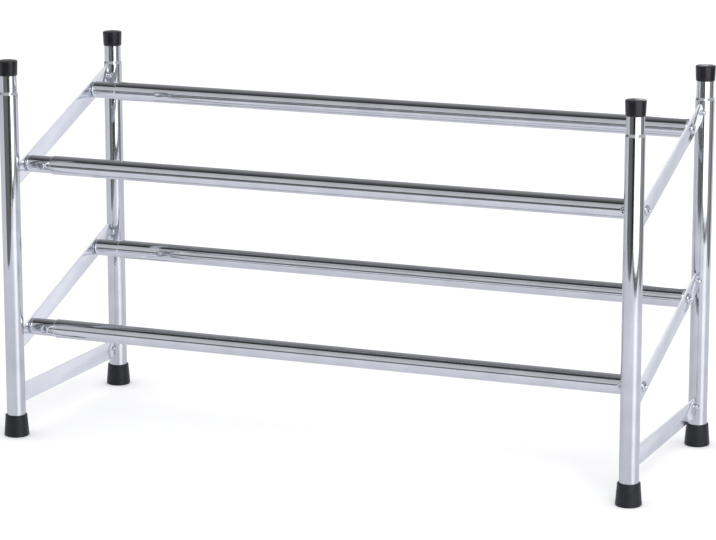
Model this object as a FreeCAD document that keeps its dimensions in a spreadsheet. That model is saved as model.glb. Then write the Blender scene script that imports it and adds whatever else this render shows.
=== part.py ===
"""Pull out shoe rack: two welded end frames on four telescoping rails.

Frame: +X to the right, along the rails; +Y to the rear; +Z up. The origin is on the floor, in the
middle of the closed rack's footprint. Lengths are in millimetres.
"""
import FreeCAD
import Part
import math
import os
import Sketcher

# ---------------------------------------------------------------------------------------------
# Dimensions
# ---------------------------------------------------------------------------------------------

# Driving dimensions: name, value, meaning.
SIZES = (
    ("frame_span", 616.0, "left to right, post axis to post axis, rack pushed in"),
    ("frame_depth", 216.0, "front to rear, post axis to post axis"),
    ("rack_height", 365.0, "floor to the top of a cap"),
    ("post_od", 18.0, "post tube, outside diameter"),
    ("post_wall", 0.7, "post tube, wall"),
    ("shoulder_length", 3.5, "height of the conical shoulder"),
    ("neck_length", 27.5, "post neck, from the shoulder to its end in the cap"),
    ("stacking_clearance", 0.15, "radial gap of a neck in the foot end of another post"),
    ("fit_clearance", 0.05, "radial gap of every pushed or screwed fit"),
    ("cap_height", 15.0, "height of a cap"),
    ("cap_roof", 2.5, "thickness of a cap above the neck"),
    ("cap_top_od", 19.0, "cap, diameter below its top edge"),
    ("cap_mouth_od", 17.8, "cap, diameter at its mouth"),
    ("cap_edge_radius", 1.0, "rounding of a cap's top edge"),
    ("cap_dome", 0.9, "rise of a cap's domed top"),
    ("foot_height", 21.0, "height of a foot"),
    ("foot_floor", 4.0, "rubber below the post's end"),
    ("foot_base_od", 24.0, "foot, diameter above its lower edge"),
    ("foot_mouth_od", 21.0, "foot, diameter at its mouth"),
    ("foot_base_radius", 1.6, "rounding of a foot's lower edge"),
    ("foot_lip_radius", 0.6, "rounding of a foot's mouth"),
    ("bar_width", 18.5, "flat bar, width, and diameter of its round ends"),
    ("bar_thickness", 2.0, "flat bar, thickness"),
    ("bar_cope", 0.4, "depth of the hollow in a bar's end that takes the round of a post"),
    ("base_bar_height", 39.0, "floor to the centre line of a base bar"),
    ("lower_tier_height", 100.0, "floor to the axis of the lower front rail"),
    ("upper_tier_drop", 71.5, "post shoulder down to the axis of the upper front rail"),
    ("rail_rise", 51.5, "front rail to rear rail of one tier, upwards"),
    ("front_rail_setback", 36.0, "front post axis to front rail axis"),
    ("rear_rail_setback", 43.0, "rear rail axis to rear post axis"),
    ("outer_tube_od", 18.0, "outer rail tube, outside diameter"),
    ("inner_tube_od", 16.4, "inner rail tube, outside diameter"),
    ("tube_wall", 0.5, "rail tubes, wall"),
    ("mouth_gap", 26.0, "inner tube in view when the rack is pushed in"),
    ("stop_gap", 0.5, "gap left at either end of the travel"),
    ("lock_dimple_place", 16.5, "bar face to the centre of a lock dimple"),
    ("lock_dimple_radius", 8.0, "ball that presses a lock dimple"),
    ("lock_dimple_depth", 1.0, "depth of a lock dimple"),
    ("stop_dimple_setback", 52.5, "mouth of an outer tube to the middle of its stop dimple"),
    ("stop_dimple_length", 17.0, "length of a stop dimple"),
    ("stop_dimple_depth", 0.22, "depth of a stop dimple"),
    ("plug_length", 22.0, "end plug, length"),
    ("plug_groove_width", 9.4, "groove that takes the lock dimple"),
    ("tapped_depth", 16.0, "tapped hole in an end plug"),
    ("glide_spigot_length", 12.0, "glide bush, length inside the inner tube"),
    ("glide_flange_length", 4.0, "glide bush, length of the running flange"),
    ("glide_bore", 10.0, "glide bush, bore"),
    ("glide_clearance", 0.08, "radial running gap of a glide bush in the outer tube"),
    ("screw_diameter", 5.0, "rail screw, thread diameter"),
    ("screw_length", 16.0, "rail screw, length below the head"),
    ("screw_hole_clearance", 0.25, "radial gap of a rail screw in a bar"),
    ("screw_head_od", 10.0, "rail screw, head diameter"),
    ("screw_head_rim", 1.2, "rail screw, height of the head's rim"),
    ("screw_head_height", 2.8, "rail screw, height of the head"),
    ("recess_span", 5.2, "cross recess, arm to arm"),
    ("recess_width", 1.2, "cross recess, width of an arm"),
    ("recess_depth", 1.4, "cross recess, depth"),
    ("nugget_size", 5.0, "weld nugget, diameter"),
    ("nugget_inset", 0.5, "post face to the middle of a weld nugget"),
    ("nugget_rise", 0.7, "bar face to the middle of a weld nugget"),
)

# Values that follow from the driving dimensions: name, formula.
DERIVED = (
    ("post_radius", "sizes.post_od / 2"),
    ("post_bore_radius", "post_radius - sizes.post_wall"),
    ("neck_radius", "post_bore_radius - sizes.stacking_clearance"),
    ("neck_bore_radius", "neck_radius - sizes.post_wall"),
    ("post_top_height", "sizes.rack_height - sizes.cap_roof"),
    ("neck_base_height", "post_top_height - sizes.neck_length"),
    ("shoulder_height", "neck_base_height - sizes.shoulder_length"),
    ("post_face", "sizes.frame_depth / 2 - post_radius"),
    ("bar_end", "post_face + sizes.bar_cope"),
    ("nose_radius", "sizes.bar_width / 2"),
    ("nose_y", "bar_end - nose_radius"),
    ("front_rail_y", "sizes.front_rail_setback - sizes.frame_depth / 2"),
    ("rear_rail_y", "sizes.frame_depth / 2 - sizes.rear_rail_setback"),
    ("rail_slope", "sizes.rail_rise / (rear_rail_y - front_rail_y)"),
    ("slope_cosine", "1 / sqrt(1 + rail_slope * rail_slope)"),
    ("rail_face", "sizes.frame_span / 2 - sizes.bar_thickness / 2"),
    ("outer_tube_radius", "sizes.outer_tube_od / 2"),
    ("inner_tube_radius", "sizes.inner_tube_od / 2"),
    ("outer_tube_length", "2 * rail_face - sizes.mouth_gap"),
    ("glide_length", "sizes.glide_spigot_length + sizes.glide_flange_length"),
    ("inner_tube_length", "2 * rail_face - sizes.plug_length - sizes.stop_gap"
                          " - sizes.glide_flange_length"),
    ("stop_reach", "sizes.stop_dimple_setback + sizes.stop_dimple_length / 2"),
    ("pull_range", "inner_tube_length - sizes.mouth_gap - stop_reach - sizes.stop_gap"),
    ("stop_dimple_place", "outer_tube_length - sizes.stop_dimple_setback"),
    ("stop_dimple_radius", "(sizes.stop_dimple_length * sizes.stop_dimple_length / 4"
                           " + sizes.stop_dimple_depth * sizes.stop_dimple_depth)"
                           " / (2 * sizes.stop_dimple_depth)"),
    ("screw_head_top", "sizes.screw_length + sizes.screw_head_height"),
)

SIDES = {"left": -1, "right": 1}
ROWS = {"front": -1, "rear": 1}
TIERS = {
    "lower": "sizes.lower_tier_height",
    "upper": "(derived.shoulder_height - sizes.upper_tier_drop)",
}
FACES = {"left": -1, "right": 1}

# Kinds of feature that take material away, with the property that holds what they start from.
CUTS = {
    "PartDesign::Pocket": "BaseFeature",
    "PartDesign::SubtractiveBox": "BaseFeature",
    "Part::Cut": "Base",
}

UPRIGHT = FreeCAD.Rotation()
ALONG_X = FreeCAD.Rotation(FreeCAD.Vector(0, 1, 0), 90)
AGAINST_X = FreeCAD.Rotation(FreeCAD.Vector(0, 1, 0), -90)
HALF_TURN = FreeCAD.Rotation(FreeCAD.Vector(0, 0, 1), 180)

doc = FreeCAD.newDocument("shoe_rack")


# ---------------------------------------------------------------------------------------------
# Sheets and helpers
# ---------------------------------------------------------------------------------------------

def make_sheets():
    """Write the driving dimensions to one sheet and what follows from them to another."""
    sizes = doc.addObject("Spreadsheet::Sheet", "sizes")
    for row, (alias, value, meaning) in enumerate(SIZES, start=1):
        sizes.set("A%d" % row, meaning)
        sizes.set("B%d" % row, str(value))
        sizes.setAlias("B%d" % row, alias)
    doc.recompute()
    derived = doc.addObject("Spreadsheet::Sheet", "derived")
    for row, (alias, formula) in enumerate(DERIVED, start=1):
        derived.set("B%d" % row, "=" + formula)
        derived.setAlias("B%d" % row, alias)
        doc.recompute()
    return derived


SHEET = make_sheets()


def number(expression):
    """Return the present value of an expression over the two sheets."""
    value = SHEET.evalExpression(expression)
    return float(getattr(value, "Value", value))


def bind(item, **expressions):
    """Bind an object's properties to expressions over the sheets."""
    for name, expression in expressions.items():
        item.setExpression(name, expression)
    return item


def place(item, x="0", y="0", z="0", turn=UPRIGHT):
    """Turn an object and bind its position."""
    item.Placement = FreeCAD.Placement(FreeCAD.Vector(), turn)
    for axis, expression in (("x", x), ("y", y), ("z", z)):
        item.setExpression("Placement.Base." + axis, expression)
    return item


def new_body(name):
    """Start an empty body."""
    return doc.addObject("PartDesign::Body", name)


def new_sketch(body, role):
    """Start a sketch on one of the body's own origin planes."""
    sketch = body.newObject("Sketcher::SketchObject", "Sketch")
    plane = next(item for item in body.Origin.OriginFeatures if item.Role == role)
    sketch.AttachmentSupport = [(plane, "")]
    sketch.MapMode = "FlatFace"
    return sketch


def hold(sketch, expression, *constraint):
    """Add a dimension to a sketch and bind it."""
    index = sketch.addConstraint(Sketcher.Constraint(*constraint, number(expression)))
    sketch.setExpression("Constraints[%d]" % index, expression)


def pin_point(sketch, geometry, end, x, y):
    """Hold a point of a sketch at a position given by two expressions."""
    for kind, axis, expression in (("DistanceX", -2, x), ("DistanceY", -1, y)):
        if number(expression) == 0:
            sketch.addConstraint(Sketcher.Constraint("PointOnObject", geometry, end, axis))
        else:
            hold(sketch, expression, kind, -1, 1, geometry, end)


def add_arc(sketch, start, finish, radius):
    """Add an anticlockwise arc of less than half a turn, and hold its radius."""
    chord = finish.sub(start)
    rise = math.sqrt(number(radius) ** 2 - (chord.Length / 2) ** 2)
    across = FreeCAD.Vector(-chord.y, chord.x, 0).normalize()
    centre = (start + finish) * 0.5 + across * rise
    angles = [math.atan2(point.y - centre.y, point.x - centre.x) for point in (start, finish)]
    circle = Part.Circle(centre, FreeCAD.Vector(0, 0, 1), number(radius))
    hold(sketch, radius, "Radius", sketch.addGeometry(Part.ArcOfCircle(circle, *angles)))


def add_outline(body, role, corners):
    """Sketch a closed outline, anticlockwise.

    A corner is (x, y), or (x, y, radius) where an arc of that radius leads to the next corner.
    """
    sketch = new_sketch(body, role)
    points = [FreeCAD.Vector(number(corner[0]), number(corner[1]), 0) for corner in corners]
    for corner, start, finish in zip(corners, points, points[1:] + points[:1]):
        if len(corner) == 3:
            add_arc(sketch, start, finish, corner[2])
        else:
            sketch.addGeometry(Part.LineSegment(start, finish))
    for index, corner in enumerate(corners):
        following = (index + 1) % len(corners)
        sketch.addConstraint(Sketcher.Constraint("Coincident", index, 2, following, 1))
        pin_point(sketch, index, 1, corner[0], corner[1])
    return sketch


def revolve(body, corners):
    """Turn an outline, given as (radius, height) corners, about the body's Z axis."""
    outline = add_outline(body, "XZ_Plane", corners)
    turned = body.newObject("PartDesign::Revolution", "Revolution")
    turned.Profile = (outline, [""])
    turned.ReferenceAxis = (outline, ["V_Axis"])
    turned.Angle = 360


def primitive(kind, x="0", y="0", z="0", turn=UPRIGHT, **dimensions):
    """Make a bound and placed Part primitive."""
    solid = bind(doc.addObject("Part::" + kind, kind), **dimensions)
    return place(solid, x, y, z, turn)


def combine(kind, base, tool):
    """Make a boolean of two objects: Cut, Fuse or Common."""
    result = doc.addObject("Part::" + kind, kind)
    result.Base = base
    result.Tool = tool
    result.Refine = False
    return result


def group(items):
    """Hold several separate solids in one object."""
    compound = doc.addObject("Part::Compound", "Group")
    compound.Links = items
    return compound


# ---------------------------------------------------------------------------------------------
# Posts, caps and feet
# ---------------------------------------------------------------------------------------------

def post_spot(side, row):
    """Position of a post's axis on the floor."""
    return {
        "x": "%d * sizes.frame_span / 2" % SIDES[side],
        "y": "%d * sizes.frame_depth / 2" % ROWS[row],
    }


def make_post(side, row):
    """Round tube, reduced at the top to a neck that fits the foot end of another post."""
    body = new_body("Post")
    revolve(body, (
        ("derived.post_bore_radius", "sizes.foot_floor"),
        ("derived.post_radius", "sizes.foot_floor"),
        ("derived.post_radius", "derived.shoulder_height"),
        ("derived.neck_radius", "derived.neck_base_height"),
        ("derived.neck_radius", "derived.post_top_height"),
        ("derived.neck_bore_radius", "derived.post_top_height"),
        ("derived.neck_bore_radius", "derived.neck_base_height"),
        ("derived.post_bore_radius", "derived.shoulder_height"),
    ))
    return place(body, **post_spot(side, row))


def make_cap(side, row):
    """Push-on cap with a tapered skirt, a rounded edge and a domed top."""
    body = new_body("Cap")
    bore = "derived.neck_radius + sizes.fit_clearance"
    ceiling = "sizes.cap_height - sizes.cap_roof"
    edge_height = "sizes.cap_height - sizes.cap_dome"
    dome_base = "(sizes.cap_top_od / 2 - sizes.cap_edge_radius)"
    dome_radius = "(%s * %s / sizes.cap_dome + sizes.cap_dome) / 2" % (dome_base, dome_base)
    revolve(body, (
        (bore, "0"),
        ("sizes.cap_mouth_od / 2", "0"),
        ("sizes.cap_top_od / 2", edge_height + " - sizes.cap_edge_radius", "sizes.cap_edge_radius"),
        (dome_base, edge_height, dome_radius),
        ("0", "sizes.cap_height"),
        ("0", ceiling),
        (bore, ceiling),
    ))
    return place(body, z="sizes.rack_height - sizes.cap_height", **post_spot(side, row))


def make_foot(side, row):
    """Ferrule foot: a flared cup with a solid floor under the post."""
    body = new_body("Foot")
    bore = "derived.post_radius + sizes.fit_clearance"
    revolve(body, (
        ("0", "0"),
        ("sizes.foot_base_od / 2 - sizes.foot_base_radius", "0", "sizes.foot_base_radius"),
        ("sizes.foot_base_od / 2", "sizes.foot_base_radius"),
        ("sizes.foot_mouth_od / 2", "sizes.foot_height - sizes.foot_lip_radius",
         "sizes.foot_lip_radius"),
        ("sizes.foot_mouth_od / 2 - sizes.foot_lip_radius", "sizes.foot_height"),
        (bore, "sizes.foot_height"),
        (bore, "sizes.foot_floor"),
        ("0", "sizes.foot_floor"),
    ))
    return place(body, **post_spot(side, row))


# ---------------------------------------------------------------------------------------------
# Bars and welds
# ---------------------------------------------------------------------------------------------

def rail_height(row, tier):
    """Height of a rail's axis."""
    return TIERS[tier] + (" + sizes.rail_rise" if row == "rear" else "")


def bar_slope(tier):
    """Rise of a bar for each millimetre to the rear."""
    return "0" if tier == "base" else "derived.rail_slope"


def bar_centre(tier, y):
    """Height of a bar's centre line at a depth y. The sloping bars pass through both rails."""
    if tier == "base":
        return "sizes.base_bar_height"
    front = rail_height("front", tier)
    return "%s + derived.rail_slope * (%s - derived.front_rail_y)" % (front, y)


def bar_outline(tier):
    """Outline of a bar with round ends, from the foot of its front tip, anticlockwise."""
    radius = "derived.nose_radius"
    slope = bar_slope(tier)
    up = radius if tier == "base" else radius + " * derived.slope_cosine"
    along = "%s * %s" % (slope, up)
    rear_along = "(2 * derived.bar_end - %s)" % radius
    rear_up = "(%s + 2 * %s * derived.nose_y)" % (radius, slope)
    return (
        ("%s + %s" % (radius, along), "%s - %s" % (radius, up)),
        ("%s + %s" % (rear_along, along), "%s - %s" % (rear_up, up), radius),
        ("2 * derived.bar_end", rear_up, radius),
        ("%s - %s" % (rear_along, along), "%s + %s" % (rear_up, up)),
        ("%s - %s" % (radius, along), "%s + %s" % (radius, up), radius),
        ("0", radius, radius),
    )


def drill_rail_holes(body):
    """Cut the two screw holes of a sloping bar, on the axes of its rails."""
    sketch = new_sketch(body, "YZ_Plane")
    for row in ROWS:
        along = "derived.bar_end + derived.%s_rail_y" % row
        up = "derived.nose_radius + derived.rail_slope * (%s - derived.nose_radius)" % along
        radius = "sizes.screw_diameter / 2 + sizes.screw_hole_clearance"
        centre = FreeCAD.Vector(number(along), number(up), 0)
        circle = Part.Circle(centre, FreeCAD.Vector(0, 0, 1), number(radius))
        index = sketch.addGeometry(circle)
        pin_point(sketch, index, 3, along, up)
        hold(sketch, radius, "Radius", index)
    pocket = body.newObject("PartDesign::Pocket", "Pocket")
    pocket.Profile = (sketch, [""])
    pocket.Type = "ThroughAll"
    pocket.Reversed = True


def make_post_round(side, row):
    """Solid round of a post's outside, to shape what is welded to it."""
    return primitive("Cylinder", Radius="derived.post_radius", Height="sizes.rack_height",
                     **post_spot(side, row))


def make_blank(side, tier):
    """Blank of a flat bar that stands on edge in the plane of the posts."""
    body = new_body("Bar")
    outline = add_outline(body, "YZ_Plane", bar_outline(tier))
    pad = body.newObject("PartDesign::Pad", "Pad")
    pad.Profile = (outline, [""])
    bind(pad, Length="sizes.bar_thickness")
    if tier != "base":
        drill_rail_holes(body)
    return place(
        body,
        x="%d * sizes.frame_span / 2 - sizes.bar_thickness / 2" % SIDES[side],
        y="-derived.bar_end",
        z="%s - derived.nose_radius" % bar_centre(tier, "-derived.nose_y"),
    )


def cope_bar(side, blank):
    """Bar whose ends take the round of the two posts."""
    coped = combine("Cut", blank, make_post_round(side, "front"))
    return combine("Cut", coped, make_post_round(side, "rear"))


def make_nugget(side, row, tier, face, blank):
    """Weld nugget on one face of a bar, where the tip of its round end meets the post."""
    x = "%d * sizes.frame_span / 2 + %d * (sizes.bar_thickness / 2 + sizes.nugget_rise)" \
        % (SIDES[side], FACES[face])
    bead = primitive(
        "Sphere", x, "%d * (derived.post_face - sizes.nugget_inset)" % ROWS[row],
        bar_centre(tier, "%d * derived.nose_y" % ROWS[row]), Radius="sizes.nugget_size / 2")
    return combine("Cut", combine("Cut", bead, blank), make_post_round(side, row))


# ---------------------------------------------------------------------------------------------
# Rails: tubes, end plugs, glide bushes and screws
# ---------------------------------------------------------------------------------------------

def rail_spot(row, tier):
    """Position of a rail's axis in the plane of an end frame."""
    return {"y": "derived.%s_rail_y" % row, "z": rail_height(row, tier)}


def press_dimple(tube, bore, dent, boss):
    """Press a dent into a tube, with the wall pushed into the bore behind it."""
    raised = combine("Fuse", tube, combine("Common", bore, boss))
    return combine("Cut", raised, dent)


def press_lock_dimple(tube, bore, radius, facing):
    """Round dimple that locks a tube on its end plug; it faces +Y or -Y of the tube."""
    centre = "%d * (%s + sizes.lock_dimple_radius - sizes.lock_dimple_depth)" % (facing, radius)
    dent, boss = (
        primitive("Sphere", "sizes.lock_dimple_place", centre, Radius=ball)
        for ball in ("sizes.lock_dimple_radius", "sizes.lock_dimple_radius + sizes.tube_wall")
    )
    return press_dimple(tube, bore, dent, boss)


def press_stop_dimple(tube, bore, facing):
    """Long shallow dimple in an outer tube, which stops the glide bush."""
    centre = "%d * (derived.outer_tube_radius + derived.stop_dimple_radius" \
             " - sizes.stop_dimple_depth)" % facing
    dent, boss = (
        primitive("Cylinder", "derived.stop_dimple_place", centre, "-derived.outer_tube_radius",
                  Radius=wheel, Height="sizes.outer_tube_od")
        for wheel in ("derived.stop_dimple_radius", "derived.stop_dimple_radius + sizes.tube_wall")
    )
    return press_dimple(tube, bore, dent, boss)


def make_tube(side, row, tier):
    """Rail tube, with its fixed end against a bar: inner on the left, outer on the right.

    The lock dimple faces away from the middle of the rack and the stop dimple faces towards it.
    """
    kind = "inner" if side == "left" else "outer"
    radius = "derived.%s_tube_radius" % kind
    length = "derived.%s_tube_length" % kind
    facing = -SIDES[side] * ROWS[row]
    body = primitive("Cylinder", turn=ALONG_X, Radius=radius, Height=length)
    bore = primitive("Cylinder", turn=ALONG_X, Radius=radius + " - sizes.tube_wall", Height=length)
    tube = combine("Cut", body, bore)
    tube = press_lock_dimple(tube, bore, radius, facing)
    if kind == "outer":
        tube = press_stop_dimple(tube, bore, -facing)
    turn = UPRIGHT if side == "left" else HALF_TURN
    return place(tube, x="%d * derived.rail_face" % SIDES[side], turn=turn, **rail_spot(row, tier))


def make_plug(side, row, tier):
    """Threaded slug in the fixed end of a tube, with a groove for the lock dimple."""
    kind = "inner" if side == "left" else "outer"
    bore = "derived.%s_tube_radius - sizes.tube_wall" % kind
    radius = bore + " - sizes.fit_clearance"
    groove = bore + " - sizes.lock_dimple_depth - sizes.fit_clearance"
    groove_start = "sizes.lock_dimple_place - sizes.plug_groove_width / 2"
    groove_end = "sizes.lock_dimple_place + sizes.plug_groove_width / 2"
    body = new_body("Plug")
    revolve(body, (
        ("sizes.screw_diameter / 2", "0"),
        (radius, "0"),
        (radius, groove_start),
        (groove, groove_start),
        (groove, groove_end),
        (radius, groove_end),
        (radius, "sizes.plug_length"),
        ("0", "sizes.plug_length"),
        ("0", "sizes.tapped_depth"),
        ("sizes.screw_diameter / 2", "sizes.tapped_depth"),
    ))
    turn = ALONG_X if side == "left" else AGAINST_X
    return place(body, x="%d * derived.rail_face" % SIDES[side], turn=turn, **rail_spot(row, tier))


def make_glide(row, tier):
    """Glide bush: a spigot in the free end of an inner tube and a flange that runs in the outer."""
    body = new_body("Glide")
    spigot = "derived.inner_tube_radius - sizes.tube_wall - sizes.fit_clearance"
    flange = "derived.outer_tube_radius - sizes.tube_wall - sizes.glide_clearance"
    revolve(body, (
        ("sizes.glide_bore / 2", "0"),
        (spigot, "0"),
        (spigot, "sizes.glide_spigot_length"),
        (flange, "sizes.glide_spigot_length"),
        (flange, "derived.glide_length"),
        ("sizes.glide_bore / 2", "derived.glide_length"),
    ))
    start = "derived.inner_tube_length - derived.rail_face - sizes.glide_spigot_length"
    return place(body, x=start, turn=ALONG_X, **rail_spot(row, tier))


def make_screw(side, row, tier):
    """Domed screw with a cross recess, through a bar into an end plug."""
    body = new_body("Screw")
    shank = "sizes.screw_diameter / 2 - sizes.fit_clearance"
    head = "sizes.screw_head_od / 2"
    crown = "(sizes.screw_head_height - sizes.screw_head_rim)"
    crown_radius = "(%s * %s / %s + %s) / 2" % (head, head, crown, crown)
    revolve(body, (
        ("0", "0"),
        (shank, "0"),
        (shank, "sizes.screw_length"),
        (head, "sizes.screw_length"),
        (head, "sizes.screw_length + sizes.screw_head_rim", crown_radius),
        ("0", "derived.screw_head_top"),
    ))
    for length, width in (("sizes.recess_span", "sizes.recess_width"),
                          ("sizes.recess_width", "sizes.recess_span")):
        arm = body.newObject("PartDesign::SubtractiveBox", "Recess")
        bind(arm, Length=length, Width=width, Height="sizes.recess_depth")
        place(arm, "-%s / 2" % length, "-%s / 2" % width,
              "derived.screw_head_top - sizes.recess_depth")
    outwards = AGAINST_X if side == "left" else ALONG_X
    tip = "%d * (derived.rail_face + sizes.bar_thickness - sizes.screw_length)" % SIDES[side]
    return place(body, x=tip, turn=outwards, **rail_spot(row, tier))


# ---------------------------------------------------------------------------------------------
# The rack
# ---------------------------------------------------------------------------------------------

def make_end_frame(side):
    """Make the pieces of one welded end frame, by name."""
    pieces = {}
    for row in ROWS:
        pieces["%s_%s_post" % (side, row)] = make_post(side, row)
        pieces["%s_%s_cap" % (side, row)] = make_cap(side, row)
        pieces["%s_%s_foot" % (side, row)] = make_foot(side, row)
    blanks = {tier: make_blank(side, tier) for tier in ("base", *TIERS)}
    for tier, blank in blanks.items():
        pieces["%s_%s_bar" % (side, tier)] = cope_bar(side, blank)
    pieces["%s_weld_nuggets" % side] = group([
        make_nugget(side, row, tier, face, blank)
        for tier, blank in blanks.items() for row in ROWS for face in FACES
    ])
    return pieces


def make_rails():
    """Make the pieces of the four rails, by name."""
    pieces = {}
    screws = {"left": [], "right": []}
    for row in ROWS:
        for tier in TIERS:
            rail = "%s_%s" % (row, tier)
            pieces[rail + "_inner_tube"] = make_tube("left", row, tier)
            pieces[rail + "_outer_tube"] = make_tube("right", row, tier)
            pieces[rail + "_inner_plug"] = make_plug("left", row, tier)
            pieces[rail + "_outer_plug"] = make_plug("right", row, tier)
            pieces[rail + "_glide_bush"] = make_glide(row, tier)
            for side in SIDES:
                screws[side].append(make_screw(side, row, tier))
    for side in SIDES:
        pieces["%s_rail_screws" % side] = group(screws[side])
    return pieces


def check_model(pieces):
    """Stop if a feature failed, a cut removed nothing or a piece isn't sound."""
    for item in doc.Objects:
        if "Invalid" in item.State or "Error" in item.State:
            raise RuntimeError("%s failed" % item.Name)
        base = getattr(item, CUTS.get(item.TypeId, ""), None)
        if base and item.Shape.Volume >= base.Shape.Volume:
            raise RuntimeError("%s cuts nothing" % item.Name)
    for name, piece in pieces.items():
        if piece.Shape.isNull() or not piece.Shape.isValid():
            raise RuntimeError("%s is not sound" % name)


def main():
    """Build the rack and write one STEP file for each piece."""
    pieces = {**make_end_frame("left"), **make_end_frame("right"), **make_rails()}
    for name, piece in pieces.items():
        piece.Label = name
    doc.recompute()
    check_model(pieces)
    os.makedirs("parts", exist_ok=True)
    for name, piece in pieces.items():
        piece.Shape.exportStep("parts/%s.step" % name)
    print("%d pieces written; the rack pulls out by %.1f mm"
          % (len(pieces), number("derived.pull_range")))


main()
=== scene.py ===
"""Looks of the pull out shoe rack: chromed tube and flat bar, black caps and feet, and a studio.

Lengths in the classes are in millimetres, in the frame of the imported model: +X to the right, along
the rails; +Y to the rear; +Z up. Meshes are made in metres.
"""
from __future__ import annotations

import logging
import math
from dataclasses import dataclass
from enum import Enum
from typing import Any, Sequence

import bmesh
import bpy
from mathutils import Matrix, Vector

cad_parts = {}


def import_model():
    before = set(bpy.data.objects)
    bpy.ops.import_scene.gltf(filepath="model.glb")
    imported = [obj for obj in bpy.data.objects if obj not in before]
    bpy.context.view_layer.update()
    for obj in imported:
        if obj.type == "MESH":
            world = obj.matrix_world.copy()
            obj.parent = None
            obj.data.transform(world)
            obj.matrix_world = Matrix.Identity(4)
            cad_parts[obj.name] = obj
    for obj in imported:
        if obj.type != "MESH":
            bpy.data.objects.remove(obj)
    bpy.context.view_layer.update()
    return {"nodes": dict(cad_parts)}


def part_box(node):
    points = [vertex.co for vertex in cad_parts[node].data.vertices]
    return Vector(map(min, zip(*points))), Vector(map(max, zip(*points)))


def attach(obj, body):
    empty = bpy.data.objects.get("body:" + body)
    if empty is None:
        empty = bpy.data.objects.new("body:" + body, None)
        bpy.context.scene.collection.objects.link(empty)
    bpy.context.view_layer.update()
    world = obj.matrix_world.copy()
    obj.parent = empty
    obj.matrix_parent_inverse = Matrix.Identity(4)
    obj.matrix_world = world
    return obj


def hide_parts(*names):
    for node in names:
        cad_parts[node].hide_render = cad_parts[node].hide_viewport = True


LOG = logging.getLogger("shoe_rack")
MM = 0.001
# Points no further apart than this, in metres, are one point.
TOUCHING = 1e-7
# Attribute that is above 0 where the stock was sheared or sawn.
SHEARED = "sheared_edge"
MATH = "ShaderNodeMath"
# Sockets of a Mix node share their names; these are the numbers of the two colours that go in
# and of the one that comes out.
COLOUR_A, COLOUR_B, MIXED = 6, 7, 2

Spot = tuple[float, float, float]
Point = tuple[float, float]
Colour = tuple[float, float, float, float]
Socket = bpy.types.NodeSocket
# Angle in degrees and brightness there, in order.
Bands = tuple[tuple[float, float], ...]


# ---------------------------------------------------------------------------------------------
# Names of the rack's parts
# ---------------------------------------------------------------------------------------------

class Side(Enum):
    """The two end frames; the value is the direction along X."""

    LEFT = -1
    RIGHT = 1

    @property
    def body(self) -> str:
        """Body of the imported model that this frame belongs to."""
        return "%s_frame" % self.name.lower()


class Row(Enum):
    """Front and rear; the value is the direction along Y."""

    FRONT = -1
    REAR = 1


class Tier(Enum):
    """Lower and upper pair of rails."""

    LOWER = "lower"
    UPPER = "upper"


class BarLevel(Enum):
    """The three flat bars of an end frame."""

    BASE = "base"
    LOWER = "lower"
    UPPER = "upper"


# ---------------------------------------------------------------------------------------------
# Nodes, colours and meshes
# ---------------------------------------------------------------------------------------------

def linear(code: str) -> Colour:
    """Turn an sRGB hex colour to a linear one, by the curve of the sRGB standard.

    Args:
        code: the colour, such as "#C4C6C9".

    Returns:
        Red, green, blue and an alpha of 1.
    """
    parts = [int(code[place:place + 2], 16) / 255 for place in (1, 3, 5)]
    red, green, blue = (
        part / 12.92 if part <= 0.04045 else ((part + 0.055) / 1.055) ** 2.4 for part in parts
    )
    return red, green, blue, 1.0


def feed(tree: bpy.types.NodeTree, node: bpy.types.Node,
         inputs: dict[Any, Any] | Sequence[Any]) -> None:
    """Set or link the inputs of a node.

    Args:
        tree: the node's tree.
        node: the node.
        inputs: what goes in by input name or number, or in order from the first input. A socket
            is linked, a node is linked by its first output, each member of a list is linked, and
            anything else is the input's value.
    """
    for key, value in inputs.items() if isinstance(inputs, dict) else enumerate(inputs):
        for member in value if isinstance(value, list) else [value]:
            source = member.outputs[0] if isinstance(member, bpy.types.Node) else member
            if isinstance(source, Socket):
                tree.links.new(source, node.inputs[key])
            else:
                node.inputs[key].default_value = source


def add_node(tree: bpy.types.NodeTree, kind: str, inputs: dict[Any, Any] | Sequence[Any] = (),
             stops: Sequence[tuple[float, Colour]] = (), **settings: Any) -> bpy.types.Node:
    """Add a node to a tree.

    Args:
        tree: the shader or geometry tree.
        kind: the node's type name.
        inputs: what goes into the node, as feed takes it.
        stops: places and colours of the stops of a colour ramp, in order.
        settings: properties of the node.

    Returns:
        The new node.
    """
    node = tree.nodes.new(kind)
    for name, value in settings.items():
        setattr(node, name, value)
    if stops:
        points = node.color_ramp.elements
        while len(points) < len(stops):
            points.new(0.5)
        for point, (place, colour) in zip(points, stops):
            point.position, point.color = place, colour
    feed(tree, node, inputs)
    return node


def new_material(name: str) -> tuple[bpy.types.Material, bpy.types.NodeTree, bpy.types.Node]:
    """Start a material.

    Args:
        name: the material's name.

    Returns:
        The material, its tree and its Principled shader.
    """
    material = bpy.data.materials.new(name)
    material.use_nodes = True
    tree = material.node_tree
    return material, tree, tree.nodes["Principled BSDF"]


def metres(spot: Sequence[float]) -> Spot:
    """A place or step in metres, from millimetres."""
    return tuple(part * MM for part in spot)


def shares(steps: int, first: int = 1) -> list[float]:
    """Even fractions up to 1.

    Args:
        steps: how many of them make 1.
        first: number of the first one that is wanted.

    Returns:
        The fractions, rising.
    """
    return [step / steps for step in range(first, steps + 1)]


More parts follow.
